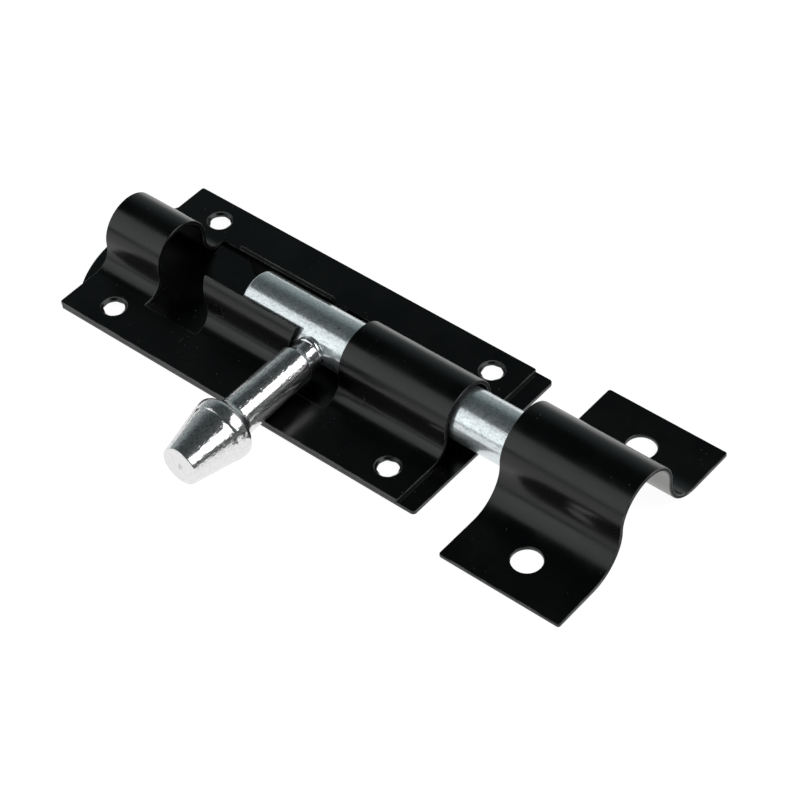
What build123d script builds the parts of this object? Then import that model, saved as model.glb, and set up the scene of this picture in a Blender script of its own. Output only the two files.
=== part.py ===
from build123d import *
import math
import os

# Door bolt with a turning handle, lying closed on a flat surface. Millimetres.
# X runs along the bolt in its closing direction, Y across it, Z up from the mounting face.
# The origin is on the mounting face, below the bolt's axis, at the left end of the guide plate.

# Sheet of the three pressed pieces
sheet = 1.2

# Bolt rod
rod_radius = 8.0
rod_start = 49.8
rod_length = 118.0
rod_end_chamfer = 0.4
rod_tip_chamfer = 1.0

# Guide plate, from its left end: first guide, notch, lips, notch, and a second guide to its end
first_guide_length = 20.5
notch_length = 16.4
lip_length = 34.3
plate_width = 61.0
plate_corner_radius = 0.8
guide_clearance = 0.9
guide_foot_radius = 5.4
guide_wall = 2.2
window_half_angle = 49.5
lip_slant = 3.2
notch_overcut = 1.3

# Back plate, which reaches past the guide plate at both ends
back_extension = 5.7
back_corner_radius = 1.2
tongue_length = 6.4
tongue_radius = 41.3

# Screw holes of the two plates
first_hole_x = 13.9
plate_hole_spacing_x = 101.5
last_hole_margin = 9.6
plate_hole_spacing_y = 45.2
screw_hole_radius = 3.0
screw_cone_radius = 3.8
back_hole_radius = 4.2

# Handle, measured from the rod's axis outwards
neck_radius = 4.4
neck_gap = 0.2
saddle_clearance = 0.05
shaft_start = 13.4
shaft_inner_radius = 5.7
shaft_outer_radius = 5.9
shaft_edge = 0.5
knob_start = 41.1
knob_widest = 43.6
knob_radius = 9.5
knob_cone_start = 46.8
knob_cone_radius = 9.0
handle_length = 61.2
handle_end_radius = 6.0
handle_end_edge = 0.4
table_gap = 0.05

# Keep
keep_gap = 13.9
keep_length = 39.4
keep_width = 75.1
keep_corner_radius = 0.8
keep_inner_radius = 10.3
keep_foot_radius = 11.2
keep_wall = 0.4
keep_hole_radius = 4.4
keep_hole_spacing = 50.4

# Places that follow from the sizes above
plate_length = first_hole_x + plate_hole_spacing_x + last_hole_margin
flange_top = 2 * sheet
rod_height = flange_top + guide_foot_radius + guide_wall
guide_inner_radius = rod_radius + guide_clearance
guide_outer_radius = guide_inner_radius + sheet
notch_half_width = guide_outer_radius + guide_foot_radius + notch_overcut
lip_start = first_guide_length + notch_length
lip_end = lip_start + lip_length
second_guide_start = lip_end + notch_length
hole_centre_x = first_hole_x + plate_hole_spacing_x / 2
handle_x = lip_end + neck_gap + neck_radius
handle_drop = math.degrees(math.asin((rod_height - knob_radius - table_gap) / knob_widest))
keep_start = plate_length + back_extension + keep_gap
keep_axis_height = sheet + keep_foot_radius + keep_wall
beyond = 10.0


def pressed_section(inner_radius, foot_radius, wall, seat, half_width):
    """Draw the section of a sheet pressed over a round bar, as a closed outline.

    inner_radius is the arch's inside radius, foot_radius the outside radius of the bend into
    the flange, wall the straight rise between them, seat the height of the flange's underside
    and half_width the flange's reach from the middle.
    """
    outer_radius = inner_radius + sheet
    top = seat + sheet
    foot_y = outer_radius + foot_radius
    foot_z = top + foot_radius
    axis_z = foot_z + wall
    CenterArc((0, axis_z), outer_radius, 0, 90)
    Line((outer_radius, axis_z), (outer_radius, foot_z))
    CenterArc((foot_y, foot_z), foot_radius, 180, 90)
    Polyline((foot_y, top), (half_width, top), (half_width, seat), (foot_y, seat))
    CenterArc((foot_y, foot_z), foot_radius + sheet, 180, 90)
    Line((inner_radius, foot_z), (inner_radius, axis_z))
    CenterArc((0, axis_z), inner_radius, 0, 90)
    mirror(about=Plane.YZ)


# Guide plate: one pressed sheet with two guides, and a window between them
with BuildPart() as front_plate:
    with BuildSketch(Plane.YZ):
        with BuildLine():
            pressed_section(guide_inner_radius, guide_foot_radius, guide_wall, sheet, plate_width / 2)
        make_face()
    extrude(amount=plate_length)

    # Window over the rod, cut square to the sheet, which leaves a low lip on each side
    window_reach = guide_outer_radius + beyond
    window_half = window_reach * math.tan(math.radians(window_half_angle))
    with BuildSketch(Plane.YZ.offset(first_guide_length)):
        with BuildLine():
            Polyline(
                (0, rod_height),
                (window_half, rod_height + window_reach),
                (-window_half, rod_height + window_reach),
                (0, rod_height),
            )
        make_face()
    extrude(amount=second_guide_start - first_guide_length, mode=Mode.SUBTRACT)

    # Notches for the handle at both ends of the lips, wider at the foot than at the top
    lip_top = rod_height + guide_outer_radius * math.cos(math.radians(window_half_angle))
    notch_top = rod_height + window_reach
    with BuildSketch(Plane.XZ.offset(-notch_half_width)):
        with BuildLine():
            Polyline(
                (first_guide_length, 0),
                (lip_start + lip_slant, 0),
                (lip_start + lip_slant, flange_top),
                (lip_start, lip_top),
                (lip_start, notch_top),
                (first_guide_length, notch_top),
                (first_guide_length, 0),
            )
        make_face()
        mirror(about=Plane.YZ.offset((first_guide_length + second_guide_start) / 2))
    extrude(amount=2 * notch_half_width, mode=Mode.SUBTRACT)

    fillet(
        front_plate.edges().filter_by(Axis.Z).filter_by(
            lambda edge: abs(edge.center().Y) > notch_half_width + notch_overcut
        ),
        radius=plate_corner_radius,
    )

    with Locations(Plane((hole_centre_x, 0, flange_top))):
        with GridLocations(plate_hole_spacing_x, plate_hole_spacing_y, 2, 2):
            CounterSinkHole(screw_hole_radius, screw_cone_radius, counter_sink_angle=90)
front_plate.part.label = "front_plate"

# Back plate: a flat sheet under the guide plate, with a shallow round tongue at the left
tongue_half = math.sqrt(tongue_radius**2 - (tongue_radius - tongue_length) ** 2)
with BuildPart() as back_plate:
    with BuildSketch(Plane.XY):
        with BuildLine():
            ThreePointArc((0, -tongue_half), (-tongue_length, 0), (0, tongue_half))
            Polyline(
                (0, tongue_half),
                (0, plate_width / 2),
                (plate_length + back_extension, plate_width / 2),
                (plate_length + back_extension, -plate_width / 2),
                (0, -plate_width / 2),
                (0, -tongue_half),
            )
        make_face()
    extrude(amount=sheet)
    fillet(
        back_plate.edges().filter_by(Axis.Z).filter_by(
            lambda edge: abs(edge.center().Y) > tongue_half + beyond / 2
        ),
        radius=back_corner_radius,
    )
    with Locations(Plane((hole_centre_x, 0, sheet))):
        with GridLocations(plate_hole_spacing_x, plate_hole_spacing_y, 2, 2):
            Hole(back_hole_radius)
back_plate.part.label = "back_plate"

# Bolt rod: a plain round bar, lying in line with both guides
with BuildPart() as bolt_rod:
    with BuildSketch(Plane.YZ.offset(rod_start)):
        with Locations((0, rod_height)):
            Circle(rod_radius)
    extrude(amount=rod_length)
    rod_ends = bolt_rod.edges().filter_by(GeomType.CIRCLE).sort_by(Axis.X)
    chamfer(rod_ends[0], length=rod_end_chamfer)
    chamfer(rod_ends[-1], length=rod_tip_chamfer)
bolt_rod.part.label = "bolt_rod"

# Handle: one turned piece, seated on the rod by a saddle at the end of its neck
handle_way = Vector(0, -math.cos(math.radians(handle_drop)), -math.sin(math.radians(handle_drop)))
handle_plane = Plane(origin=(handle_x, 0, rod_height), x_dir=handle_way, z_dir=(1, 0, 0))
with BuildPart() as handle:
    with BuildSketch(handle_plane):
        with BuildLine():
            Polyline(
                (0, 0),
                (0, neck_radius),
                (shaft_start, neck_radius),
                (shaft_start, shaft_inner_radius - shaft_edge),
                (shaft_start + shaft_edge, shaft_inner_radius),
                (knob_start, shaft_outer_radius),
            )
            EllipticalCenterArc(
                (knob_widest, shaft_outer_radius),
                knob_widest - knob_start,
                knob_radius - shaft_outer_radius,
                start_angle=90,
                arc_size=90,
            )
            TangentArc(
                (knob_widest, knob_radius),
                (knob_cone_start, knob_cone_radius),
                tangent=(1, 0),
            )
            Polyline(
                (knob_cone_start, knob_cone_radius),
                (handle_length - handle_end_edge, handle_end_radius),
                (handle_length, handle_end_radius - handle_end_edge),
                (handle_length, 0),
                (0, 0),
            )
        make_face()
    revolve(axis=Axis(handle_plane.origin, handle_way))
    with BuildSketch(Plane.YZ.offset(handle_x - beyond)):
        with Locations((0, rod_height)):
            Circle(rod_radius + saddle_clearance)
    extrude(amount=2 * beyond, mode=Mode.SUBTRACT)
handle.part.label = "handle"

# Keep: a separate pressed strap that the rod's tip enters
with BuildPart() as keep:
    with BuildSketch(Plane.YZ.offset(keep_start)):
        with BuildLine():
            pressed_section(keep_inner_radius, keep_foot_radius, keep_wall, 0, keep_width / 2)
        make_face()
    extrude(amount=keep_length)
    fillet(
        keep.edges().filter_by(Axis.Z).filter_by(
            lambda edge: abs(edge.center().Y) > keep_hole_spacing / 2
        ),
        radius=keep_corner_radius,
    )
    with Locations(Plane((keep_start + keep_length / 2, 0, keep_axis_height))):
        with GridLocations(keep_length, keep_hole_spacing, 1, 2):
            Hole(keep_hole_radius)
keep.part.label = "keep"

os.makedirs("parts", exist_ok=True)
export_step(front_plate.part, "parts/front_plate.step")
export_step(back_plate.part, "parts/back_plate.step")
export_step(bolt_rod.part, "parts/bolt_rod.step")
export_step(handle.part, "parts/handle.step")
export_step(keep.part, "parts/keep.step")
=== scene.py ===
"""Looks of a door bolt: black pressed plates and keep, a zinc-plated bar and its turned handle.

The pieces are modelled in millimetres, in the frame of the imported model, and stand for its nodes.
X runs along the bar, Y across it and Z up from the mounting face.
"""

from __future__ import annotations

import logging
import math
import random
from dataclasses import dataclass
from enum import Enum
from typing import Callable, Sequence

import bmesh
import bpy
from mathutils import Matrix, Vector

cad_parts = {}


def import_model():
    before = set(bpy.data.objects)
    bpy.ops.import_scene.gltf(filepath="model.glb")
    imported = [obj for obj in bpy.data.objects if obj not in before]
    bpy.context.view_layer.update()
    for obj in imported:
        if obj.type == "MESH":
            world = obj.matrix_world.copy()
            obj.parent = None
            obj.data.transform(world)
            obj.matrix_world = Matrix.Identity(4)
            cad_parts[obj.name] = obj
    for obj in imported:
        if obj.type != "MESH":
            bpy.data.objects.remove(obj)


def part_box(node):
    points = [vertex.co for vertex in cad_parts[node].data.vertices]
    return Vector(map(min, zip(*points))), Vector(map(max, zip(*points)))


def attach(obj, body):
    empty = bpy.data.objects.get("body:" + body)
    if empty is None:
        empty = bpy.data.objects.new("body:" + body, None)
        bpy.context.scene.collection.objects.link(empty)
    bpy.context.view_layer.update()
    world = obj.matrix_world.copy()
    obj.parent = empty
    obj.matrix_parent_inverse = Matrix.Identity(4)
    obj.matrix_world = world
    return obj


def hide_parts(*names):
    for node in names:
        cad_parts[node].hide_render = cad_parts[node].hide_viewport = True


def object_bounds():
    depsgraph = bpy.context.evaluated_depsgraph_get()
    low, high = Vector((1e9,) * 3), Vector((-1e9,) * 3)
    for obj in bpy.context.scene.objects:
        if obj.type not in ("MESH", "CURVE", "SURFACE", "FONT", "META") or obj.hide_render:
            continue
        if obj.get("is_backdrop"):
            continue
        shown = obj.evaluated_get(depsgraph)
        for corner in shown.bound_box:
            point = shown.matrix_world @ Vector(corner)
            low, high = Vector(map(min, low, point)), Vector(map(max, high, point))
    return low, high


MM = 0.001
CUT_FINISH, RIM_FINISH, INSIDE_FINISH = 1, 2, 3
HOLE_STEPS = 8
CORNER_STEPS = 6
CORNER_TURN = math.radians(60)
IN_LINE = 0.01 * MM
ABOVE_FLANGE = 0.5
BURR_WAVES = (3, 5, 8)
MOSTLY = 0.5
LOG = logging.getLogger("door_bolt")

Colour = tuple[float, float, float]
Point = tuple[float, float]
Ring = list[int]
Heights = Callable[[float], Point]
Place = Callable[[float], float]
Material = bpy.types.Material
Socket = bpy.types.NodeSocket


class Slot(Enum):
    """The record's material slots."""

    BLACK_PAINT = "black_paint"
    ROD_ZINC = "rod_zinc"
    HANDLE_ZINC = "handle_zinc"


class Along(Enum):
    """The axis that a finish's streaks run along, as an index of X, Y and Z."""

    BAR = 0
    HANDLE = 1


class Part(Enum):
    """The parts of the guide plate, across its section and along its length."""

    GUIDE = "guide"
    WINDOW = "window"
    LIP = "lip"
    NOTCH = "notch"
    FLANGE = "flange"
    HOLE = "hole"


def rgba(colour: Colour) -> tuple[float, float, float, float]:
    """Return a colour with an alpha of 1."""
    return (*colour, 1.0)


def grey(value: float) -> tuple[float, float, float, float]:
    """Return a neutral colour with an alpha of 1."""
    return (value, value, value, 1.0)


class NodeDesk:
    """Adds nodes to one shader tree and links them."""

    def __init__(self, tree: bpy.types.NodeTree) -> None:
        """Take the tree of a material or a world, and empty it."""
        self.tree = tree
        tree.nodes.clear()

    @classmethod
    def with_material(cls, name: str) -> tuple[Material, NodeDesk]:
        """Add a material.

        Args:
            name: the material's name.

        Returns:
            The material and the desk that adds its nodes.
        """
        material = bpy.data.materials.new(name)
        material.use_nodes = True
        return material, cls(material.node_tree)

    def add(self, kind: str, inputs: dict | None = None, **settings: object) -> bpy.types.Node:
        """Add one node.

        Args:
            kind: the node's type name.
            inputs: socket name or index to a value, or to the socket that feeds it.
            settings: the node's own properties.

        Returns:
            The new node.
        """
        node = self.tree.nodes.new(kind)
        for name, value in settings.items():
            setattr(node, name, value)
        for key, value in (inputs or {}).items():
            if isinstance(value, Socket):
                self.tree.links.new(value, node.inputs[key])
            else:
                node.inputs[key].default_value = value
        return node

    def math(self, operation: str, first: object, second: object = 0.0) -> Socket:
        """Add a Math node on two values or sockets and return its result."""
        return self.add("ShaderNodeMath", {0: first, 1: second}, operation=operation).outputs[0]

    def remap(self, value: object, step: Point, result: Point = (0.0, 1.0)) -> Socket:
        """Add a clamped Map Range node with a smooth step.

        Args:
            value: the socket to map.
            step: where the step starts and ends.
            result: the results before and after it.

        Returns:
            Its result socket.
        """
        limits = zip(("From Min", "From Max", "To Min", "To Max"), (*step, *result))
        inputs = {"Value": value, **dict(limits)}
        return self.add("ShaderNodeMapRange", inputs, interpolation_type="SMOOTHSTEP").outputs["Result"]

    def mix(self, share: object, first: object, second: object, blend: str = "MIX") -> Socket:
        """Add a colour mix, with a share of the second colour or socket, and return its colour."""
        inputs = {0: share, 6: first, 7: second}
        return self.add("ShaderNodeMix", inputs, data_type="RGBA", blend_type=blend).outputs[2]

    def place(self, per_m: float, along: Along = Along.BAR, stretch: float = 1.0) -> Socket:
        """Add the piece's own coordinates, scaled.

        Args:
            per_m: features per metre.
            along: the axis that the features are drawn out along.
            stretch: factor on the features per metre along it.

        Returns:
            The vector socket.
        """
        scale = [per_m] * 3
        scale[along.value] *= stretch
        where = self.add("ShaderNodeTexCoord").outputs["Object"]
        return self.add("ShaderNodeMapping", {"Vector": where, "Scale": scale}).outputs["Vector"]

    def noise(self, where: Socket, detail: float, rough: float) -> Socket:
        """Add a noise texture with a number of octaves and the weight of the finer ones."""
        inputs = {"Vector": where, "Scale": 1.0, "Detail": detail, "Roughness": rough}
        return self.add("ShaderNodeTexNoise", inputs).outputs["Fac"]

    def specks(self, where: Socket, radius: float, share: float) -> Socket:
        """Add small round specks, one in some cells of a Voronoi pattern.

        Args:
            where: the vector socket.
            radius: a speck's radius, in cells.
            share: share of the cells that have a speck.

        Returns:
            A socket that is 1 on a speck and 0 elsewhere.
        """
        cells = self.add("ShaderNodeTexVoronoi", {"Vector": where, "Scale": 1.0})
        spot = self.remap(cells.outputs["Distance"], (radius / 2, radius), (1.0, 0.0))
        pick = self.add("ShaderNodeSeparateColor", {"Color": cells.outputs["Color"]}).outputs["Red"]
        return self.math("MULTIPLY", spot, self.math("LESS_THAN", pick, share))

    def bump(self, relief: Socket, depth: float) -> Socket:
        """Add a bump and return its normal."""
        inputs = {"Height": relief, "Strength": 1.0, "Distance": depth}
        return self.add("ShaderNodeBump", inputs).outputs["Normal"]

    def coat(self, inputs: dict) -> Socket:
        """Add a Principled shader and return its result."""
        return self.add("ShaderNodeBsdfPrincipled", inputs).outputs["BSDF"]

    def surface(self, shader: Socket) -> None:
        """Make a shader the material's surface."""
        self.add("ShaderNodeOutputMaterial", {"Surface": shader})


@dataclass(frozen=True)
class BlackPaint:
    """Semi-gloss black paint on sheet steel, with a faint orange peel, smudges and dust."""

    name: str = "black_paint"
    colour: Colour = (0.0002, 0.0002, 0.0002)
    smudge_colour: Colour = (0.0008, 0.0008, 0.0008)
    dust_colour: Colour = (0.12, 0.12, 0.115)
    roughness: float = 0.24
    roughness_spread: float = 0.05
    reflection_index: float = 1.44
    smudges_per_m: float = 60.0
    smudge_step: Point = (0.35, 0.7)
    gloss_step: Point = (0.3, 0.7)
    peel_per_m: float = 900.0
    peel_depth: float = 0.0000025
    dust_per_m: float = 620.0
    dust_radius: float = 0.1
    dust_share: float = 0.4
    dust_patches_per_m: float = 45.0
    dust_step: Point = (0.4, 0.62)
    dust_range: Point = (0.05, 1.0)
    dust_roughness: float = 0.4
    dust_relief: float = 4.0
    scratches_per_m: float = 160.0
    scratch_stretch: float = 0.12
    scratch_width: float = 0.012
    scratch_patches_per_m: float = 34.0
    scratch_step: Point = (0.64, 0.72)
    scratch_strength: float = 0.55
    wander_step: Point = (0.4, 0.65)
    cut_roughness: float = 0.6
    cut_index: float = 1.25
    # The rims' lighter colour is partly worn paint and partly a painted highlight for the bright edge lines.
    rim_wear_and_highlight_colour: Colour = (0.1, 0.1, 0.1)
    rim_roughness: float = 0.4
    finish_patches_per_m: float = 130.0
    bare_colour: Colour = (0.27, 0.27, 0.265)
    bare_roughness: float = 0.38

    def plain_material(
        self, name: str, colours: tuple[Colour, Colour], scale: float, constants: dict[str, float]
    ) -> Material:
        """Build a finish that wanders between two colours.

        Args:
            name: what to add to the paint's name.
            colours: the two colours.
            scale: patches per metre.
            constants: values of the shader's own sockets.

        Returns:
            The material.
        """
        material, desk = NodeDesk.with_material(self.name + name)
        patch = desk.noise(desk.place(scale), detail=4.0, rough=0.6)
        colour = desk.mix(desk.remap(patch, self.wander_step), rgba(colours[0]), rgba(colours[1]))
        desk.surface(desk.coat({"Base Color": colour, **constants}))
        return material

    def finishes(self) -> tuple[Material, ...]:
        """Build the paint, and its finishes on cut faces, on rims that are partly worn and partly lightened
        as a painted edge highlight, and on the thinly painted inside.

        Returns:
            The four materials, in that order.
        """
        cut = {"Roughness": self.cut_roughness, "IOR": self.cut_index}
        rim = {"Roughness": self.rim_roughness, "IOR": self.reflection_index}
        inside = {"Roughness": self.bare_roughness, "Metallic": 1.0}
        return (
            self.material(),
            self.plain_material("_cut", (self.colour, self.smudge_colour), self.peel_per_m, cut),
            # Rim finish: patches of worn paint and a painted edge highlight on the rounded edges.
            self.plain_material("_rim", (self.smudge_colour, self.rim_wear_and_highlight_colour), self.finish_patches_per_m, rim),
            self.plain_material("_inside", (self.bare_colour, self.bare_colour), self.finish_patches_per_m, inside),
        )

    def material(self) -> Material:
        """Return the paint of the faces."""
        material, desk = NodeDesk.with_material(self.name)
        smudge = desk.noise(desk.place(self.smudges_per_m), detail=5.0, rough=0.6)
        dust = desk.specks(desk.place(self.dust_per_m), self.dust_radius, self.dust_share)
        dusty = desk.noise(desk.place(self.dust_patches_per_m), detail=2.0, rough=0.5)
        dust = desk.math("MULTIPLY", dust, desk.remap(dusty, self.dust_step, self.dust_range))
        dust = desk.math("MAXIMUM", dust, self.scratches(desk))
        colour = desk.mix(desk.remap(smudge, self.smudge_step), rgba(self.colour), rgba(self.smudge_colour))
        colour = desk.mix(dust, colour, rgba(self.dust_colour))
        rough = desk.remap(smudge, self.gloss_step, about(self.roughness, self.roughness_spread))
        rough = desk.math("ADD", rough, desk.math("MULTIPLY", dust, self.dust_roughness))
        peel = desk.noise(desk.place(self.peel_per_m), detail=2.0, rough=0.5)
        relief = desk.math("ADD", peel, desk.math("MULTIPLY", dust, self.dust_relief))
        inputs = {"Base Color": colour, "Roughness": rough, "IOR": self.reflection_index}
        desk.surface(desk.coat({**inputs, "Normal": desk.bump(relief, self.peel_depth)}))
        return material

    def scratches(self, desk: NodeDesk) -> Socket:
        """Add faint short scratches in a few patches.

        Args:
            desk: the material's nodes.

        Returns:
            A socket that is above 0 on a scratch.
        """
        where = desk.place(self.scratches_per_m, Along.HANDLE, self.scratch_stretch)
        line = desk.math("SUBTRACT", desk.noise(where, detail=1.0, rough=0.5), 0.5)
        line = desk.remap(desk.math("ABSOLUTE", line), (0.0, self.scratch_width), (1.0, 0.0))
        patch = desk.noise(desk.place(self.scratch_patches_per_m), detail=4.0, rough=0.7)
        patch = desk.remap(patch, self.scratch_step, (0.0, self.scratch_strength))
        return desk.math("MULTIPLY", line, patch)


@dataclass(frozen=True)
class ZincPlate:
    """Bright zinc plate on steel: streaks along the piece, mottling and small dark pits."""

    name: str
    along: Along
    colour: Colour
    dull_colour: Colour
    pit_colour: Colour = (0.05, 0.055, 0.06)
    roughness: float = 0.16
    roughness_spread: float = 0.08
    gloss_step: Point = (0.55, 0.95)
    frost: float = 0.3
    frost_roughness: float = 0.5
    frost_step: Point = (0.35, 0.65)
    frost_spread: float = 0.2
    mottle_per_m: float = 700.0
    mottle_step: Point = (0.42, 0.68)
    mottle_share: float = 0.8
    streaks_per_m: float = 2600.0
    streak_stretch: float = 0.06
    streak_step: Point = (0.55, 0.75)
    streak_share: float = 0.4
    streak_gloss: float = 0.5
    streak_relief: float = 0.12
    grain_per_m: float = 1500.0
    grain_stretch: float = 0.5
    grain_depth: float = 0.00003
    crater_per_m: float = 1500.0
    crater_radius: float = 0.36
    crater_share: float = 0.4
    crater_depth: float = 0.35
    fleck_per_m: float = 2300.0
    fleck_colour: Colour = (0.07, 0.09, 0.095)
    fleck_step: Point = (0.5, 0.62)
    fleck_rise: Point = (0.1, 0.45)
    flecks: float = 0.5
    pits_per_m: float = 420.0
    pit_radius: float = 0.09
    pit_share: float = 0.16
    pit_depth: float = 0.5

    def material(self) -> Material:
        """Return the plating."""
        material, desk = NodeDesk.with_material(self.name)
        streaks = desk.place(self.streaks_per_m, self.along, self.streak_stretch)
        streaks = desk.noise(streaks, detail=3.0, rough=0.6)
        mottle = desk.noise(desk.place(self.mottle_per_m), detail=5.0, rough=0.65)
        pits = desk.specks(desk.place(self.pits_per_m), self.pit_radius, self.pit_share)
        dull = desk.math("MULTIPLY", desk.remap(mottle, self.mottle_step), self.mottle_share)
        dull = desk.math("ADD", dull, desk.remap(streaks, self.streak_step, (0.0, self.streak_share)))
        colour = desk.mix(dull, rgba(self.colour), rgba(self.dull_colour))
        colour = desk.mix(self.fleck(desk), colour, rgba(self.fleck_colour))
        colour = desk.mix(pits, colour, rgba(self.pit_colour))
        rough = desk.math("ADD", mottle, desk.math("MULTIPLY", streaks, self.streak_gloss))
        rough = desk.remap(rough, self.gloss_step, about(self.roughness, self.roughness_spread))
        grain = desk.place(self.grain_per_m, self.along, self.grain_stretch)
        relief = desk.noise(grain, detail=2.0, rough=0.45)
        relief = desk.math("ADD", relief, desk.math("MULTIPLY", streaks, self.streak_relief))
        relief = desk.math("SUBTRACT", relief, desk.math("MULTIPLY", pits, self.pit_depth))
        craters = desk.place(self.crater_per_m, self.along, self.grain_stretch)
        craters = desk.specks(craters, self.crater_radius, self.crater_share)
        relief = desk.math("SUBTRACT", relief, desk.math("MULTIPLY", craters, self.crater_depth))
        shared = {"Base Color": colour, "Metallic": 1.0, "Normal": desk.bump(relief, self.grain_depth)}
        coats = [desk.coat({**shared, "Roughness": value}) for value in (rough, self.frost_roughness)]
        frosted = desk.remap(mottle, self.frost_step, about(self.frost, self.frost * self.frost_spread))
        desk.surface(desk.add("ShaderNodeMixShader", {0: frosted, 1: coats[0], 2: coats[1]}).outputs[0])
        return material

    def fleck(self, desk: NodeDesk) -> Socket:
        """Add small dull flecks, on the side of the piece that faces up at rest.

        Args:
            desk: the material's nodes.

        Returns:
            A socket that is above 0 on a fleck.
        """
        facing = desk.add("ShaderNodeSeparateXYZ", {0: desk.add("ShaderNodeTexCoord").outputs["Normal"]})
        upward = desk.remap(facing.outputs["Z"], self.fleck_rise, (0.0, self.flecks))
        where = desk.place(self.fleck_per_m, self.along, self.grain_stretch)
        fleck = desk.remap(desk.noise(where, detail=2.0, rough=0.6), self.fleck_step)
        return desk.math("MULTIPLY", fleck, upward)


class ThickSheet:
    """A sheet of metal as pairs of top and bottom points, closed along its free edges."""

    def __init__(self) -> None:
        """Start with no points."""
        self.tops: list[Vector] = []
        self.bottoms: list[Vector] = []
        self.cells: list[Ring] = []
        self.known: dict[tuple[float, ...], int] = {}

    def pair(self, top: Sequence[float], bottom: Sequence[float]) -> int:
        """Add a pair of points, or find the pair whose top point is there already.

        Args:
            top: the point on the outer side, in millimetres.
            bottom: the point below it on the inner side.

        Returns:
            The pair's number.
        """
        key = tuple(round(value, 4) for value in top)
        if key not in self.known:
            self.known[key] = len(self.tops)
            self.tops.append(Vector(top))
            self.bottoms.append(Vector(bottom))
        return self.known[key]

    def cell(self, corners: Ring) -> None:
        """Add a cell between pairs, unless it has no area.

        Args:
            corners: the numbers of its pairs, in order around it.
        """
        unique = [pair for index, pair in enumerate(corners) if pair != corners[index - 1]]
        if len(set(unique)) == len(unique) > 2:
            self.cells.append(unique)

    def grid_cell(self, grid: Sequence[Ring], row: int, column: int) -> None:
        """Add the cell after a row and a column of a grid of pairs."""
        near, far = grid[row], grid[row + 1]
        self.cell([near[column], near[column + 1], far[column + 1], far[column]])

    def hole(
        self,
        centre: Point,
        xs: Sequence[float],
        ys: Sequence[float],
        rims: Sequence[Point],
        height: Heights,
        burr: float = 0.0,
    ) -> None:
        """Fill a block of the sheet around a round hole.

        Args:
            centre: the hole's centre in X and Y.
            xs: the block's grid lines in X.
            ys: the block's grid lines in Y.
            rims: radius and drop of the top point for each ring, from the outside in.
            height: top and bottom height of the sheet at a Y.
            burr: how far the innermost ring wanders from round.
        """
        draw = random.Random(f"{centre[0]:.1f} {centre[1]:.1f}")
        waves = [(count, draw.uniform(0.0, 2.0 * math.pi)) for count in BURR_WAVES]
        edge = [(x, ys[0]) for x in xs[:-1]] + [(xs[-1], y) for y in ys[:-1]]
        edge += [(x, ys[-1]) for x in reversed(xs[1:])] + [(xs[0], y) for y in reversed(ys[1:])]
        outer = [self.pair((x, y, height(y)[0]), (x, y, height(y)[1])) for x, y in edge]
        for radius, drop in rims:
            inner = []
            for x, y in edge:
                turn = math.atan2(y - centre[1], x - centre[0])
                wander = sum(math.sin(count * turn + phase) for count, phase in waves) / len(waves)
                reach = radius + (burr * wander if radius == rims[-1][0] else 0.0)
                away = Vector((x - centre[0], y - centre[1])).normalized() * reach
                at_x, at_y = centre[0] + away.x, centre[1] + away.y
                top, bottom = height(at_y)
                inner.append(self.pair((at_x, at_y, top - drop), (at_x, at_y, bottom)))
            for index in range(len(edge)):
                self.cell([outer[index - 1], outer[index], inner[index], inner[index - 1]])
            outer = inner

    def mesh(self, name: str, corner_radius: float, cut_height: float = math.inf) -> bpy.types.Mesh:
        """Close the sheet and round its upright corners.

        Args:
            name: the mesh's name.
            corner_radius: radius of the outline's corners, in millimetres.
            cut_height: cut faces above this height take the matt finish.

        Returns:
            The closed mesh, in metres.
        """
        shape = bmesh.new()
        tops = [shape.verts.new(point * MM) for point in self.tops]
        bottoms = [shape.verts.new(point * MM) for point in self.bottoms]
        uses: dict[frozenset[int], int] = {}
        for cell in self.cells:
            shape.faces.new([tops[pair] for pair in cell])
            shape.faces.new([bottoms[pair] for pair in reversed(cell)])
            for index, pair in enumerate(cell):
                edge = frozenset((cell[index - 1], pair))
                uses[edge] = uses.get(edge, 0) + 1
        for edge, count in uses.items():
            if count == 1:
                first, second = edge
                face = shape.faces.new([tops[first], tops[second], bottoms[second], bottoms[first]])
                if min(tops[first].co.z, tops[second].co.z) > cut_height * MM:
                    face.material_index = CUT_FINISH
        bmesh.ops.recalc_face_normals(shape, faces=shape.faces)
        shape.verts.ensure_lookup_table()
        side_y = max(vertex.co.y for vertex in shape.verts)
        corners = []
        for edge in shape.edges:
            ends = [vertex.co for vertex in edge.verts]
            upright = (ends[0].xy - ends[1].xy).length < IN_LINE
            at_side = abs(abs(ends[0].y) - side_y) < IN_LINE
            if upright and at_side and edge.is_manifold and edge.calc_face_angle() > CORNER_TURN:
                corners.append(edge)
        bevel = {"offset": corner_radius * MM, "segments": CORNER_STEPS, "profile": 0.5, "affect": "EDGES"}
        bmesh.ops.bevel(shape, geom=corners, **bevel)
        mesh = bpy.data.meshes.new(name)
        shape.to_mesh(mesh)
        shape.free()
        return mesh


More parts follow.
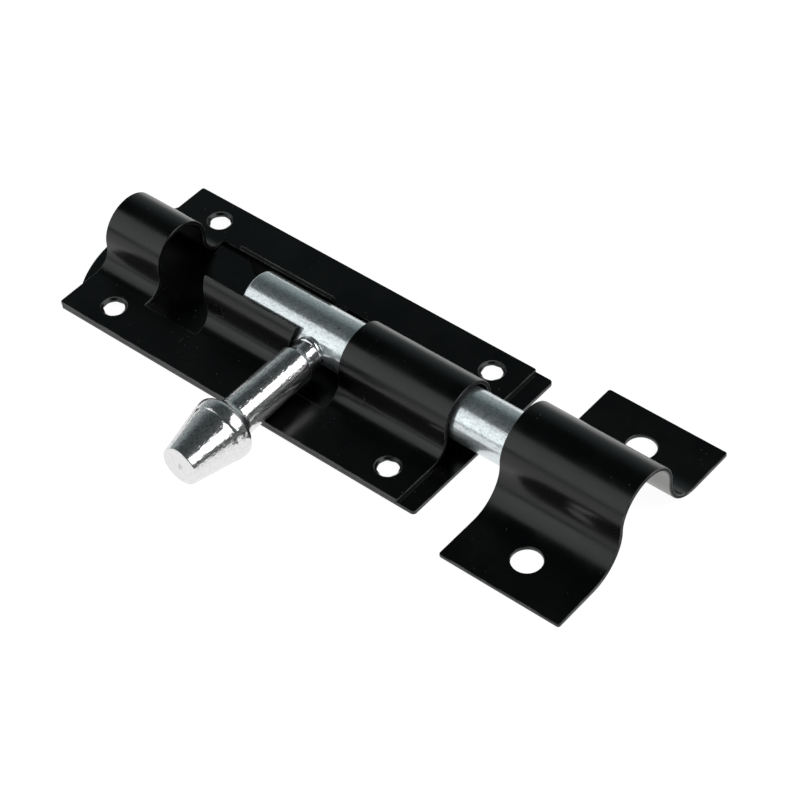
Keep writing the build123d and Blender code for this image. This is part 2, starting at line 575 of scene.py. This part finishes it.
@dataclass
class Piece:
    """One piece of the bolt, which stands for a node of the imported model."""

    node: str
    body: str
    slot: Slot
    rim_radius: float = 0.26
    rim_steps: int = 3
    rim_turn: float = 32.0

    def bounds(self) -> tuple[Vector, Vector]:
        """Return the lowest and highest corner of the piece's node, in millimetres."""
        low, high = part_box(self.node)
        return low / MM, high / MM

    def mesh(self) -> bpy.types.Mesh:
        """Return the piece's mesh; each kind of piece has its own."""
        raise NotImplementedError

    def build(self, finishes: Sequence[Material]) -> None:
        """Make the piece, round its edges, dress it and put it on its body.

        Args:
            finishes: the piece's finish, and those of its cut faces, rims and inside if they differ.
        """
        piece = bpy.data.objects.new(f"{self.node}_finished", self.mesh())
        bpy.context.scene.collection.objects.link(piece)
        piece.data.shade_smooth()
        if self.rim_radius:
            rim = piece.modifiers.new("rim", "BEVEL")
            rim.width = self.rim_radius * MM
            rim.segments = self.rim_steps
            rim.limit_method = "ANGLE"
            rim.angle_limit = math.radians(self.rim_turn)
            rim.harden_normals = True
            rim.miter_outer = "MITER_ARC"
            # The rounded edges take the rim finish, whose lighter colour is partly a painted highlight.
            if len(finishes) > RIM_FINISH:
                rim.material = RIM_FINISH
        for finish in finishes:
            piece.data.materials.append(finish)
        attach(piece, self.body)
        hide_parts(self.node)
        LOG.info("%s: %d faces on %s", piece.name, len(piece.data.polygons), self.body)


def spread(start: float, end: float, steps: int) -> list[float]:
    """Return evenly spaced values from start to end, one more than the steps."""
    return [start + (end - start) * step / steps for step in range(steps + 1)]


def about(value: float, reach: float) -> Point:
    """Return the values that lie a reach below and above a value."""
    return value - reach, value + reach


@dataclass(frozen=True)
class PressedSection:
    """Half the section of a sheet pressed over a round bar, from its crown to its flange."""

    crown_radius: float
    foot_radius: float
    wall: float
    sheet: float
    seat: float

    @property
    def foot_y(self) -> float:
        """Where the bend ends and the flange starts."""
        return self.crown_radius + self.foot_radius

    @property
    def foot_z(self) -> float:
        """Height of the bend's centre."""
        return self.seat + self.sheet + self.foot_radius

    @property
    def axis_z(self) -> float:
        """Height of the crown's centre."""
        return self.foot_z + self.wall

    def crown(self, angle: float) -> list[Point]:
        """Return the top and bottom point at an angle from upright, in radians."""
        radii = (self.crown_radius, self.crown_radius - self.sheet)
        return [(radius * math.sin(angle), self.axis_z + radius * math.cos(angle)) for radius in radii]

    def bend(self, angle: float) -> list[Point]:
        """Return the top and bottom point of the bend, 0 at the wall and a right angle at the flange."""
        across, up = math.cos(angle), math.sin(angle)
        radii = (self.foot_radius, self.foot_radius + self.sheet)
        return [(self.foot_y - radius * across, self.foot_z - radius * up) for radius in radii]

    def height(self, y: float) -> Point:
        """Return the top and bottom height of the bend or the flange at a distance from the middle."""
        inside = max(0.0, self.foot_y - abs(y))
        radii = (self.foot_radius, self.foot_radius + self.sheet)
        top, bottom = (self.foot_z - math.sqrt(radius**2 - inside**2) for radius in radii)
        return top, bottom

    def bend_angle(self, y: float) -> float:
        """Return the bend's angle whose top point is at a distance from the middle."""
        return math.acos((self.foot_y - y) / self.foot_radius)


@dataclass
class GuidePlate(Piece):
    """The pressed guide plate: two guides, a window, and a lip with notches on each side of it."""

    section: PressedSection = PressedSection(10.1, 5.4, 2.2, 1.2, 1.2)
    first_guide_length: float = 20.5
    notch_length: float = 16.4
    lip_length: float = 34.3
    lip_slant: float = 3.2
    window_half_angle: float = 49.5
    notch_half_width: float = 16.8
    corner_radius: float = 0.8
    first_hole_x: float = 13.9
    hole_spacing: Point = (101.5, 45.2)
    hole_radius: float = 3.0
    cone_radius: float = 3.8
    hole_rim: float = 0.6
    hole_block: float = 5.0
    burr: float = 0.22
    window_steps: int = 14
    lip_steps: int = 11
    bend_steps: int = 18
    lip_columns: int = 16
    guide_columns: tuple[int, int] = (6, 14)
    end_columns: int = 3

    def slanted(self, at_x: float, away: float) -> Place:
        """Return the place along X of a lip's side at each height.

        Args:
            at_x: where the side stands at the top of the lip.
            away: its direction towards the lip's middle, 1 or -1.
        """
        low = self.section.seat + self.section.sheet
        (_, high), _ = self.section.crown(math.radians(self.window_half_angle))

        def place(z: float) -> float:
            """Return the side's X at a height."""
            share = min(1.0, max(0.0, (high - z) / (high - low)))
            return at_x + away * self.lip_slant * share

        return place

    def columns(self, length: float) -> list[tuple[Place, Part]]:
        """Return the grid lines along X, each with the part of the plate that follows it.

        Args:
            length: the plate's length.
        """
        first_end = self.first_guide_length
        lip_start = first_end + self.notch_length
        lip_end = lip_start + self.lip_length
        second_start = lip_end + self.notch_length
        left, right = self.slanted(lip_start, 1.0), self.slanted(lip_end, -1.0)
        lines: list[tuple[Place, Part]] = []

        def straight(values: Sequence[float], part: Part) -> None:
            """Add straight grid lines."""
            lines.extend((lambda z, x=x: x, part) for x in values)

        def guide(start: float, hole_x: float, end: float, steps: int) -> None:
            """Add the grid lines of a closed guide with its pair of holes."""
            block = (hole_x - self.hole_block, hole_x + self.hole_block)
            straight(spread(start, block[0], steps)[:-1], Part.GUIDE)
            straight(spread(*block, HOLE_STEPS)[:-1], Part.HOLE)
            straight(spread(block[1], end, self.end_columns)[:-1], Part.GUIDE)

        guide(0.0, self.first_hole_x, first_end, self.guide_columns[0])
        straight([first_end], Part.NOTCH)
        for step in range(self.lip_columns):
            share = step / self.lip_columns
            lines.append((lambda z, s=share: left(z) + (right(z) - left(z)) * s, Part.LIP))
        lines.append((right, Part.NOTCH))
        guide(second_start, self.first_hole_x + self.hole_spacing[0], length, self.guide_columns[1])
        straight([length], Part.GUIDE)
        return lines

    def mesh(self) -> bpy.types.Mesh:
        """Return the plate's mesh."""
        _, high = self.bounds()
        section = self.section
        cut = math.radians(self.window_half_angle)
        hole_y = self.hole_spacing[1] / 2
        rows: list[tuple[Point, Point, Part]] = []
        for curve, start, end, steps, part in (
            (section.crown, 0.0, cut, self.window_steps, Part.WINDOW),
            (section.crown, cut, math.pi / 2, self.lip_steps, Part.LIP),
            (section.bend, 0.0, math.pi / 2, self.bend_steps, Part.LIP),
        ):
            rows += [(*curve(angle), part) for angle in spread(start, end, steps)[:-1]]
        block = spread(hole_y - self.hole_block, hole_y + self.hole_block, HOLE_STEPS)
        flange = [(section.foot_y, Part.LIP), (self.notch_half_width, Part.FLANGE)]
        flange += [(y, Part.HOLE) for y in block[:-1]]
        flange += [(y, Part.FLANGE) for y in (block[-1], (block[-1] + high.y) / 2, high.y)]
        rows += [((y, section.height(y)[0]), (y, section.height(y)[1]), part) for y, part in flange]
        columns = self.columns(high.x)
        sheet = ThickSheet()
        for side in (1, -1):
            grid = []
            for top, bottom, _ in rows:
                line = []
                for place, _ in columns:
                    above = (place(top[1]), side * top[0], top[1])
                    below = (place(bottom[1]), side * bottom[0], bottom[1])
                    line.append(sheet.pair(above, below))
                grid.append(line)
            for row in range(len(rows) - 1):
                for column in range(len(columns) - 1):
                    if not self.is_open(rows[row][2], columns[column][1]):
                        sheet.grid_cell(grid, row, column)
            ys = [side * y for y in block]
            for hole_x in (self.first_hole_x, self.first_hole_x + self.hole_spacing[0]):
                xs = spread(hole_x - self.hole_block, hole_x + self.hole_block, HOLE_STEPS)
                drop = self.cone_radius - self.hole_radius
                rims = [(self.cone_radius + self.hole_rim, 0.0), (self.cone_radius, 0.0)]
                rims.append((self.hole_radius, drop))
                sheet.hole((hole_x, side * hole_y), xs, ys, rims, section.height, self.burr)
        return sheet.mesh(self.node, self.corner_radius, section.height(high.y)[0] + ABOVE_FLANGE)

    @staticmethod
    def is_open(across: Part, along: Part) -> bool:
        """Say whether the plate has no metal in a cell of its grid.

        Args:
            across: the row's part of the section.
            along: the column's part of the length.
        """
        if across is Part.WINDOW:
            return along in (Part.NOTCH, Part.LIP)
        if across is Part.LIP:
            return along is Part.NOTCH
        return across is Part.HOLE and along is Part.HOLE


@dataclass
class BackPlate(Piece):
    """The flat sheet behind the guide plate, with a shallow round tongue at its left end."""

    tongue_radius: float = 41.3
    corner_radius: float = 1.2
    first_hole_x: float = 13.9
    hole_spacing: Point = (101.5, 45.2)
    hole_radius: float = 4.2
    hole_rim: float = 0.5
    hole_block: float = 5.5
    middle_steps: int = 10
    length_steps: int = 8

    def mesh(self) -> bpy.types.Mesh:
        """Return the plate's mesh."""
        low, high = self.bounds()
        tongue = -low.x
        half = math.sqrt(self.tongue_radius**2 - (self.tongue_radius - tongue) ** 2)
        hole_y = self.hole_spacing[1] / 2
        block = (hole_y - self.hole_block, hole_y + self.hole_block)
        hole_ys = spread(block[0], half, HOLE_STEPS // 2)[:-1] + spread(half, block[1], HOLE_STEPS // 2)
        rows = spread(0.0, block[0], self.middle_steps)[:-1] + hole_ys + [high.y]
        lines: list[tuple[float, bool]] = []
        for hole_x in (self.first_hole_x, self.first_hole_x + self.hole_spacing[0]):
            start = lines[-1][0] if lines else 0.0
            first = hole_x - self.hole_block
            lines += [(x, False) for x in spread(start, first, self.length_steps)[1 if lines else 0 : -1]]
            lines += [(x, True) for x in spread(first, hole_x + self.hole_block, HOLE_STEPS)[:-1]]
            lines.append((hole_x + self.hole_block, False))
        lines.append((high.x, False))

        def height(_: float) -> Point:
            """Return the sheet's top and bottom height."""
            return high.z, low.z

        sheet = ThickSheet()
        for side in (1, -1):
            grid = []
            for y in rows:
                inside = max(0.0, self.tongue_radius**2 - y**2)
                edge = min(0.0, self.tongue_radius - tongue - math.sqrt(inside))
                places = [edge] + [x for x, _ in lines]
                grid.append([sheet.pair((x, side * y, high.z), (x, side * y, low.z)) for x in places])
            for row in range(len(rows) - 1):
                at_hole = block[0] <= rows[row] < block[1]
                for column in range(len(lines)):
                    if not (at_hole and column > 0 and lines[column - 1][1]):
                        sheet.grid_cell(grid, row, column)
            for hole_x in (self.first_hole_x, self.first_hole_x + self.hole_spacing[0]):
                xs = spread(hole_x - self.hole_block, hole_x + self.hole_block, HOLE_STEPS)
                rims = ((self.hole_radius + self.hole_rim, 0.0), (self.hole_radius, 0.0))
                sheet.hole((hole_x, side * hole_y), xs, [side * y for y in hole_ys], rims, height)
        return sheet.mesh(self.node, self.corner_radius)


@dataclass
class Keep(Piece):
    """The pressed strap that takes the bar's tip."""

    section: PressedSection = PressedSection(11.5, 11.2, 0.4, 1.2, 0.0)
    corner_radius: float = 0.8
    hole_spacing: float = 50.4
    hole_radius: float = 4.4
    hole_rim: float = 0.5
    hole_block: float = 5.6
    crown_steps: int = 26
    bend_steps: int = 20
    side_steps: int = 8

    def mesh(self) -> bpy.types.Mesh:
        """Return the strap's mesh."""
        low, high = self.bounds()
        section = self.section
        hole_x, hole_y = (low.x + high.x) / 2, self.hole_spacing / 2
        block = spread(hole_y - self.hole_block, hole_y + self.hole_block, HOLE_STEPS)
        rows = [section.crown(angle) for angle in spread(0.0, math.pi / 2, self.crown_steps)[:-1]]
        last_bend = section.bend_angle(block[0])
        rows += [section.bend(angle) for angle in spread(0.0, last_bend, self.bend_steps)[:-1]]
        first_hole_row = len(rows)
        for y in block + [(block[-1] + high.y) / 2, high.y]:
            top, bottom = section.height(y)
            rows.append(((y, top), (y, bottom)))
        hole_rows = range(first_hole_row, first_hole_row + HOLE_STEPS)
        xs = spread(hole_x - self.hole_block, hole_x + self.hole_block, HOLE_STEPS)
        columns = spread(low.x, xs[0], self.side_steps)[:-1] + xs
        columns += spread(xs[-1], high.x, self.side_steps)[1:]
        hole_columns = range(self.side_steps, self.side_steps + HOLE_STEPS)
        sheet = ThickSheet()
        for side in (1, -1):
            grid = []
            for top, bottom in rows:
                line = []
                for x in columns:
                    line.append(sheet.pair((x, side * top[0], top[1]), (x, side * bottom[0], bottom[1])))
                grid.append(line)
            for row in range(len(rows) - 1):
                for column in range(len(columns) - 1):
                    if row not in hole_rows or column not in hole_columns:
                        sheet.grid_cell(grid, row, column)
            rims = ((self.hole_radius + self.hole_rim, 0.0), (self.hole_radius, 0.0))
            sheet.hole((hole_x, side * hole_y), xs, [side * y for y in block], rims, section.height)
        mesh = sheet.mesh(self.node, self.corner_radius, section.height(high.y)[0] + ABOVE_FLANGE)
        for face in mesh.polygons:
            from_axis = face.center - Vector((face.center.x, 0.0, section.axis_z * MM))
            across = abs(face.normal.x) < MOSTLY and abs(face.center.y) < section.crown_radius * MM
            if across and from_axis.dot(face.normal) < 0.0:
                face.material_index = INSIDE_FINISH
        return mesh


def arc(centre: Point, radii: Point, start: float, end: float, steps: int) -> list[Point]:
    """Return points on an arc of an ellipse between two angles in degrees, one more than the steps."""
    turns = spread(math.radians(start), math.radians(end), steps)
    return [(centre[0] + radii[0] * math.cos(turn), centre[1] + radii[1] * math.sin(turn)) for turn in turns]


class Lathe:
    """A turned piece, made ring by ring about its axis."""

    def __init__(self, origin: Vector, way: Vector, steps: int) -> None:
        """Set the axis.

        Args:
            origin: a point on the axis, in millimetres.
            way: the axis's direction.
            steps: number of points around a ring.
        """
        self.origin = origin
        self.way = way.normalized()
        side = Vector((1, 0, 0)) if abs(self.way.x) < MOSTLY else Vector((0, 1, 0))
        self.side = side
        self.up = self.way.cross(side)
        self.steps = steps
        self.shape = bmesh.new()
        self.last: list[bmesh.types.BMVert] = []

    def ring(self, radius: float, reach: Place) -> None:
        """Add a ring and join it to the one before.

        Args:
            radius: the ring's radius; 0 gives a single point.
            reach: distance along the axis at an angle around it.
        """
        count = self.steps if radius > 0 else 1
        ring = []
        for step in range(count):
            angle = 2 * math.pi * step / count
            out = self.side * math.cos(angle) + self.up * math.sin(angle)
            ring.append(self.shape.verts.new((self.origin + self.way * reach(angle) + out * radius) * MM))
        if self.last:
            for step in range(self.steps):
                corners = [self.last[step % len(self.last)], self.last[(step + 1) % len(self.last)]]
                corners += [ring[(step + 1) % len(ring)], ring[step % len(ring)]]
                unique = [vertex for index, vertex in enumerate(corners) if vertex != corners[index - 1]]
                self.shape.faces.new(unique)
        self.last = ring

    def turn(self, profile: Sequence[Point]) -> None:
        """Add a ring for each point of a profile, a distance along the axis and a radius."""
        for at, radius in profile:
            self.ring(radius, lambda angle, at=at: at)

    def mesh(self, name: str) -> bpy.types.Mesh:
        """Return the closed mesh.

        Args:
            name: the mesh's name.
        """
        bmesh.ops.recalc_face_normals(self.shape, faces=self.shape.faces)
        mesh = bpy.data.meshes.new(name)
        self.shape.to_mesh(mesh)
        self.shape.free()
        return mesh


@dataclass
class BoltRod(Piece):
    """The plain round bar."""

    edge: float = 0.4
    tip_edge: float = 1.0
    face_shares: tuple[float, ...] = (0.3, 0.6, 0.85, 1.0)
    tip_shares: tuple[float, ...] = (1.0, 0.7, 0.35)
    ring_steps: int = 160
    length_steps: int = 40

    def mesh(self) -> bpy.types.Mesh:
        """Return the bar's mesh."""
        low, high = self.bounds()
        radius = (high.z - low.z) / 2
        lathe = Lathe(Vector((0, 0, low.z + radius)), Vector((1, 0, 0)), self.ring_steps)
        profile = [(low.x, share * (radius - self.edge)) for share in (0.0, *self.face_shares)]
        body = spread(low.x + self.edge, high.x - self.tip_edge, self.length_steps)
        profile += [(x, radius) for x in body]
        profile += [(high.x, share * (radius - self.tip_edge)) for share in (*self.tip_shares, 0.0)]
        lathe.turn(profile)
        return lathe.mesh(self.node)


@dataclass
class Handle(Piece):
    """The turned handle: neck, shaft and knob, seated on the bar."""

    axis_z: float = 10.0
    saddle_radius: float = 8.05
    neck_radius: float = 4.5
    root_radius: float = 4.8
    root_end: float = 8.8
    root_step: float = 0.1
    undercut: float = 0.3
    seat_shares: tuple[float, ...] = (0.0, 0.35, 0.7, 1.0)
    flare_shares: tuple[float, ...] = (0.0, 0.3, 0.6, 0.85, 1.0)
    neck_band: float = 2.0
    neck_fillet: float = 0.2
    shaft_start: float = 13.4
    shaft_radii: Point = (5.7, 5.9)
    shaft_edge: float = 0.5
    knob_start: float = 41.1
    knob_widest: float = 43.6
    knob_radius: float = 9.5
    cone_start: float = 46.8
    cone_radius: float = 9.0
    groove_depth: float = 0.14
    groove_width: float = 0.36
    length: float = 61.2
    end_radius: float = 6.0
    end_edge: float = 0.4
    face_radii: tuple[float, ...] = (3.4, 1.6, 0.45)
    dimple: Point = (0.3, 0.4)
    dimple_radius: float = 0.3
    table_gap: float = 0.05
    ring_steps: int = 128
    shaft_steps: int = 12
    knob_steps: int = 18
    cone_steps: int = 8
    cone_lead: float = 0.02
    shaft_edge_steps: int = 5
    end_edge_steps: int = 4

    def mesh(self) -> bpy.types.Mesh:
        """Return the handle's mesh."""
        low, high = self.bounds()
        drop = math.asin((self.axis_z - self.knob_radius - self.table_gap) / self.knob_widest)
        way = Vector((0, -math.cos(drop), -math.sin(drop)))
        lathe = Lathe(Vector(((low.x + high.x) / 2, 0, self.axis_z)), way, self.ring_steps)

        def seat(radius: float, around: float) -> None:
            """Add a ring that lies on a round surface about the bar's axis."""
            lathe.ring(radius, lambda angle: math.sqrt(around**2 - (radius * math.sin(angle)) ** 2))

        for share in self.seat_shares:
            seat((self.root_radius - self.undercut) * share, self.saddle_radius)
        seat(self.root_radius, self.saddle_radius + self.undercut)
        lathe.turn(self.neck() + self.shaft() + self.knob() + self.end_face())
        return lathe.mesh(self.node)

    def neck(self) -> list[Point]:
        """Return the neck's profile, from the flare at its root to the shaft's step."""
        flare = self.root_radius - self.neck_radius
        start = self.saddle_radius + self.undercut + self.root_step
        profile = []
        for share in self.flare_shares:
            reach = start + (self.root_end - start) * share
            profile.append((reach, self.neck_radius + flare * (1 - share) ** 2))
        for before in (self.neck_band, self.neck_fillet):
            profile.append((self.shaft_start - before, self.neck_radius))
        return profile + [(self.shaft_start, self.neck_radius + self.neck_fillet)]

    def shaft(self) -> list[Point]:
        """Return the shaft's profile, from its step to the knob."""
        inner, outer = self.shaft_radii
        edge = self.shaft_edge
        start = self.shaft_start + edge
        profile = [(self.shaft_start, inner - edge)]
        profile += arc((start, inner - edge), (edge, edge), 180, 90, self.shaft_edge_steps)[1:]
        for share in spread(0.0, 1.0, self.shaft_steps)[1:]:
            profile.append((start + (self.knob_start - start) * share, inner + (outer - inner) * share))
        return profile

    def knob(self) -> list[Point]:
        """Return the knob's profile: its shoulder, its widest band, a groove and the cone."""
        outer = self.shaft_radii[1]
        shoulder = (self.knob_widest - self.knob_start, self.knob_radius - outer)
        profile = arc((self.knob_widest, outer), shoulder, 180, 90, self.knob_steps)[1:]
        crease = self.cone_start - self.groove_width / 2
        for share in spread(0.0, 1.0, self.cone_steps)[1:]:
            reach = self.knob_widest + (crease - self.knob_widest) * share
            profile.append((reach, self.knob_radius - (self.knob_radius - self.cone_radius) * share**3))
        profile.append((self.cone_start, self.cone_radius - self.groove_depth))
        last = self.length - self.end_edge
        for share in spread(self.cone_lead, 1.0, self.cone_steps):
            reach = self.cone_start + (last - self.cone_start) * share
            profile.append((reach, self.cone_radius + (self.end_radius - self.cone_radius) * share))
        return profile

    def end_face(self) -> list[Point]:
        """Return the profile of the rounded end and its face, with a small dimple in the middle."""
        centre = (self.length - self.end_edge, self.end_radius - self.end_edge)
        profile = arc(centre, (self.end_edge, self.end_edge), 90, 0, self.end_edge_steps)[1:]
        profile += [(self.length, radius) for radius in self.face_radii]
        side, middle = self.dimple
        return profile + [(self.length - side, self.dimple_radius), (self.length - middle, 0.0)]


@dataclass(frozen=True)
class Softbox:
    """A soft rectangular lamp that looks at the bolt."""

    name: str
    azimuth: float
    elevation: float
    distance: float
    width: float
    height: float
    radiance: float

    def build(self, aim: Vector) -> None:
        """Add the lamp.

        Args:
            aim: the point it looks at, in metres.
        """
        turn, rise = math.radians(self.azimuth), math.radians(self.elevation)
        away = Vector((math.cos(turn) * math.cos(rise), math.sin(turn) * math.cos(rise), math.sin(rise)))
        light = bpy.data.lights.new(self.name, "AREA")
        light.shape = "RECTANGLE"
        light.size = self.width
        light.size_y = self.height
        light.energy = self.radiance * math.pi * self.width * self.height
        lamp = bpy.data.objects.new(self.name, light)
        lamp.location = aim + away * self.distance
        lamp.rotation_euler = away.to_track_quat("Z", "Y").to_euler()
        lamp.visible_camera = False
        bpy.context.scene.collection.objects.link(lamp)


@dataclass(frozen=True)
class Studio:
    """The floor, the surroundings, the lamps and the camera."""

    floor_side: float = 8.0
    floor_drop: float = 0.00005
    floor_glow: float = 0.95
    floor_shade: float = 0.17
    floor_colour: float = 0.8
    softboxes: tuple[Softbox, ...] = (
        Softbox("right_softbox", 25.0, 42.0, distance=0.9, width=0.95, height=0.55, radiance=2.7),
        Softbox("left_softbox", -131.0, 31.5, distance=0.9, width=1.08, height=0.74, radiance=1.08),
    )
    hall: tuple[tuple[float, Colour], ...] = (
        (0.0, (0.52, 0.54, 0.54)),
        (0.14, (0.39, 0.43, 0.43)),
        (0.4, (0.27, 0.315, 0.315)),
        (0.6, (0.16, 0.195, 0.197)),
        (0.7, (0.07, 0.088, 0.09)),
        (0.78, (0.038, 0.048, 0.05)),
        (1.0, (0.03, 0.038, 0.04)),
    )
    dim_side: Point = (0.25, 0.85)
    dim_share: float = 0.2
    camera_azimuth: float = 41.66
    camera_elevation: float = 46.19
    camera_roll: float = -3.11
    camera_place: tuple[float, float, float] = (0.44574, -0.38764, 0.54098)
    focal_pixels: float = 2721.6
    frame_pixels: float = 800.0
    sensor_width: float = 36.0
    clip_start: float = 0.02

    def build_floor(self) -> None:
        """Add the floor: white to the eye and in metal, with the bolt's shadow on it."""
        shape = bmesh.new()
        bmesh.ops.create_grid(shape, x_segments=1, y_segments=1, size=self.floor_side / 2)
        mesh = bpy.data.meshes.new("floor")
        shape.to_mesh(mesh)
        shape.free()
        floor = bpy.data.objects.new("floor", mesh)
        floor.location.z = -self.floor_drop
        bpy.context.scene.collection.objects.link(floor)
        material, desk = NodeDesk.with_material("floor_white")
        path = desk.add("ShaderNodeLightPath").outputs
        seen = desk.math("MAXIMUM", path["Is Camera Ray"], path["Is Glossy Ray"])
        seen = desk.math("MAXIMUM", seen, path["Is Transmission Ray"])
        plain = desk.add("ShaderNodeBsdfDiffuse", {"Color": grey(self.floor_colour)})
        shade = desk.add("ShaderNodeBsdfDiffuse", {"Color": grey(self.floor_shade)})
        glow = desk.add("ShaderNodeEmission", {"Color": grey(1.0), "Strength": self.floor_glow})
        white = desk.add("ShaderNodeAddShader", {0: shade.outputs[0], 1: glow.outputs[0]})
        mix = desk.add("ShaderNodeMixShader", {0: seen, 1: plain.outputs[0], 2: white.outputs[0]})
        desk.surface(mix.outputs[0])
        mesh.materials.append(material)
        floor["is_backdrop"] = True

    def build_world(self) -> None:
        """Surround the bolt with a room that is light near the floor and dark overhead."""
        world = bpy.data.worlds.new("studio")
        bpy.context.scene.world = world
        world.use_nodes = True
        desk = NodeDesk(world.node_tree)
        way = desk.add("ShaderNodeTexCoord").outputs["Generated"]
        parts = desk.add("ShaderNodeSeparateXYZ", {0: way}).outputs
        ramp = desk.add("ShaderNodeValToRGB", {0: parts["Z"]})
        elements = ramp.color_ramp.elements
        while len(elements) < len(self.hall):
            elements.new(1.0)
        for element, (at, colour) in zip(elements, self.hall):
            element.position = at
            element.color = rgba(colour)
        dim = desk.remap(parts["X"], self.dim_side, (1.0, self.dim_share))
        hall = desk.mix(1.0, ramp.outputs["Color"], dim, "MULTIPLY")
        background = desk.add("ShaderNodeBackground", {"Color": hall, "Strength": 1.0})
        desk.add("ShaderNodeOutputWorld", {"Surface": background.outputs[0]})

    def build_camera(self) -> None:
        """Add the camera at the photograph's angle."""
        facing = Matrix.Translation(self.camera_place)
        turns = ((self.camera_azimuth, "Z"), (90.0 - self.camera_elevation, "X"), (self.camera_roll, "Z"))
        for degrees, axis in turns:
            facing = facing @ Matrix.Rotation(math.radians(degrees), 4, axis)
        data = bpy.data.cameras.new("camera")
        data.sensor_width = self.sensor_width
        data.lens = self.focal_pixels / self.frame_pixels * self.sensor_width
        data.clip_start = self.clip_start
        camera = bpy.data.objects.new("camera", data)
        camera.matrix_world = facing
        bpy.context.scene.collection.objects.link(camera)
        bpy.context.scene.camera = camera

    def build(self, aim: Vector) -> None:
        """Build the whole studio.

        Args:
            aim: the bolt's middle, in metres.
        """
        self.build_floor()
        self.build_world()
        self.build_camera()
        for softbox in self.softboxes:
            softbox.build(aim)
        bpy.context.scene.view_settings.view_transform = "Standard"


def as_lists(bounds: Sequence) -> list[list[float]]:
    """Return a box's corners as plain lists of numbers."""
    return [[float(value) for value in corner] for corner in bounds]


def main() -> None:
    """Build the studio and the bolt's pieces."""
    logging.basicConfig(level=logging.INFO, format="%(name)s: %(message)s")
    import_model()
    packed = as_lists(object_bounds())
    rod_zinc = ZincPlate(
        "rod_zinc",
        Along.BAR,
        (0.75, 0.8, 0.815),
        (0.68, 0.73, 0.745),
        frost=0.36,
        roughness_spread=0.04,
        grain_depth=0.000012,
        pits_per_m=320.0,
        pit_radius=0.12,
        pit_share=0.35,
        flecks=0.3,
    )
    handle_zinc = ZincPlate(
        "handle_zinc",
        Along.HANDLE,
        (0.8, 0.79, 0.795),
        (0.75, 0.745, 0.75),
        roughness=0.12,
        roughness_spread=0.04,
        frost=0.12,
        grain_depth=0.00005,
        flecks=0.42,
    )
    finishes = {
        Slot.BLACK_PAINT: BlackPaint().finishes(),
        Slot.ROD_ZINC: (rod_zinc.material(),),
        Slot.HANDLE_ZINC: (handle_zinc.material(),),
    }
    pieces = (
        GuidePlate("front_plate", "plates", Slot.BLACK_PAINT),
        BackPlate("back_plate", "plates", Slot.BLACK_PAINT),
        Keep("keep", "plates", Slot.BLACK_PAINT),
        BoltRod("bolt_rod", "bolt", Slot.ROD_ZINC),
        Handle("handle", "lever", Slot.HANDLE_ZINC, rim_radius=0.0),
    )
    for piece in pieces:
        piece.build(finishes[piece.slot])
    low, high = (Vector(corner) for corner in packed)
    Studio().build((low + high) / 2)
    bpy.context.view_layer.update()


if __name__ == "__main__":
    main()
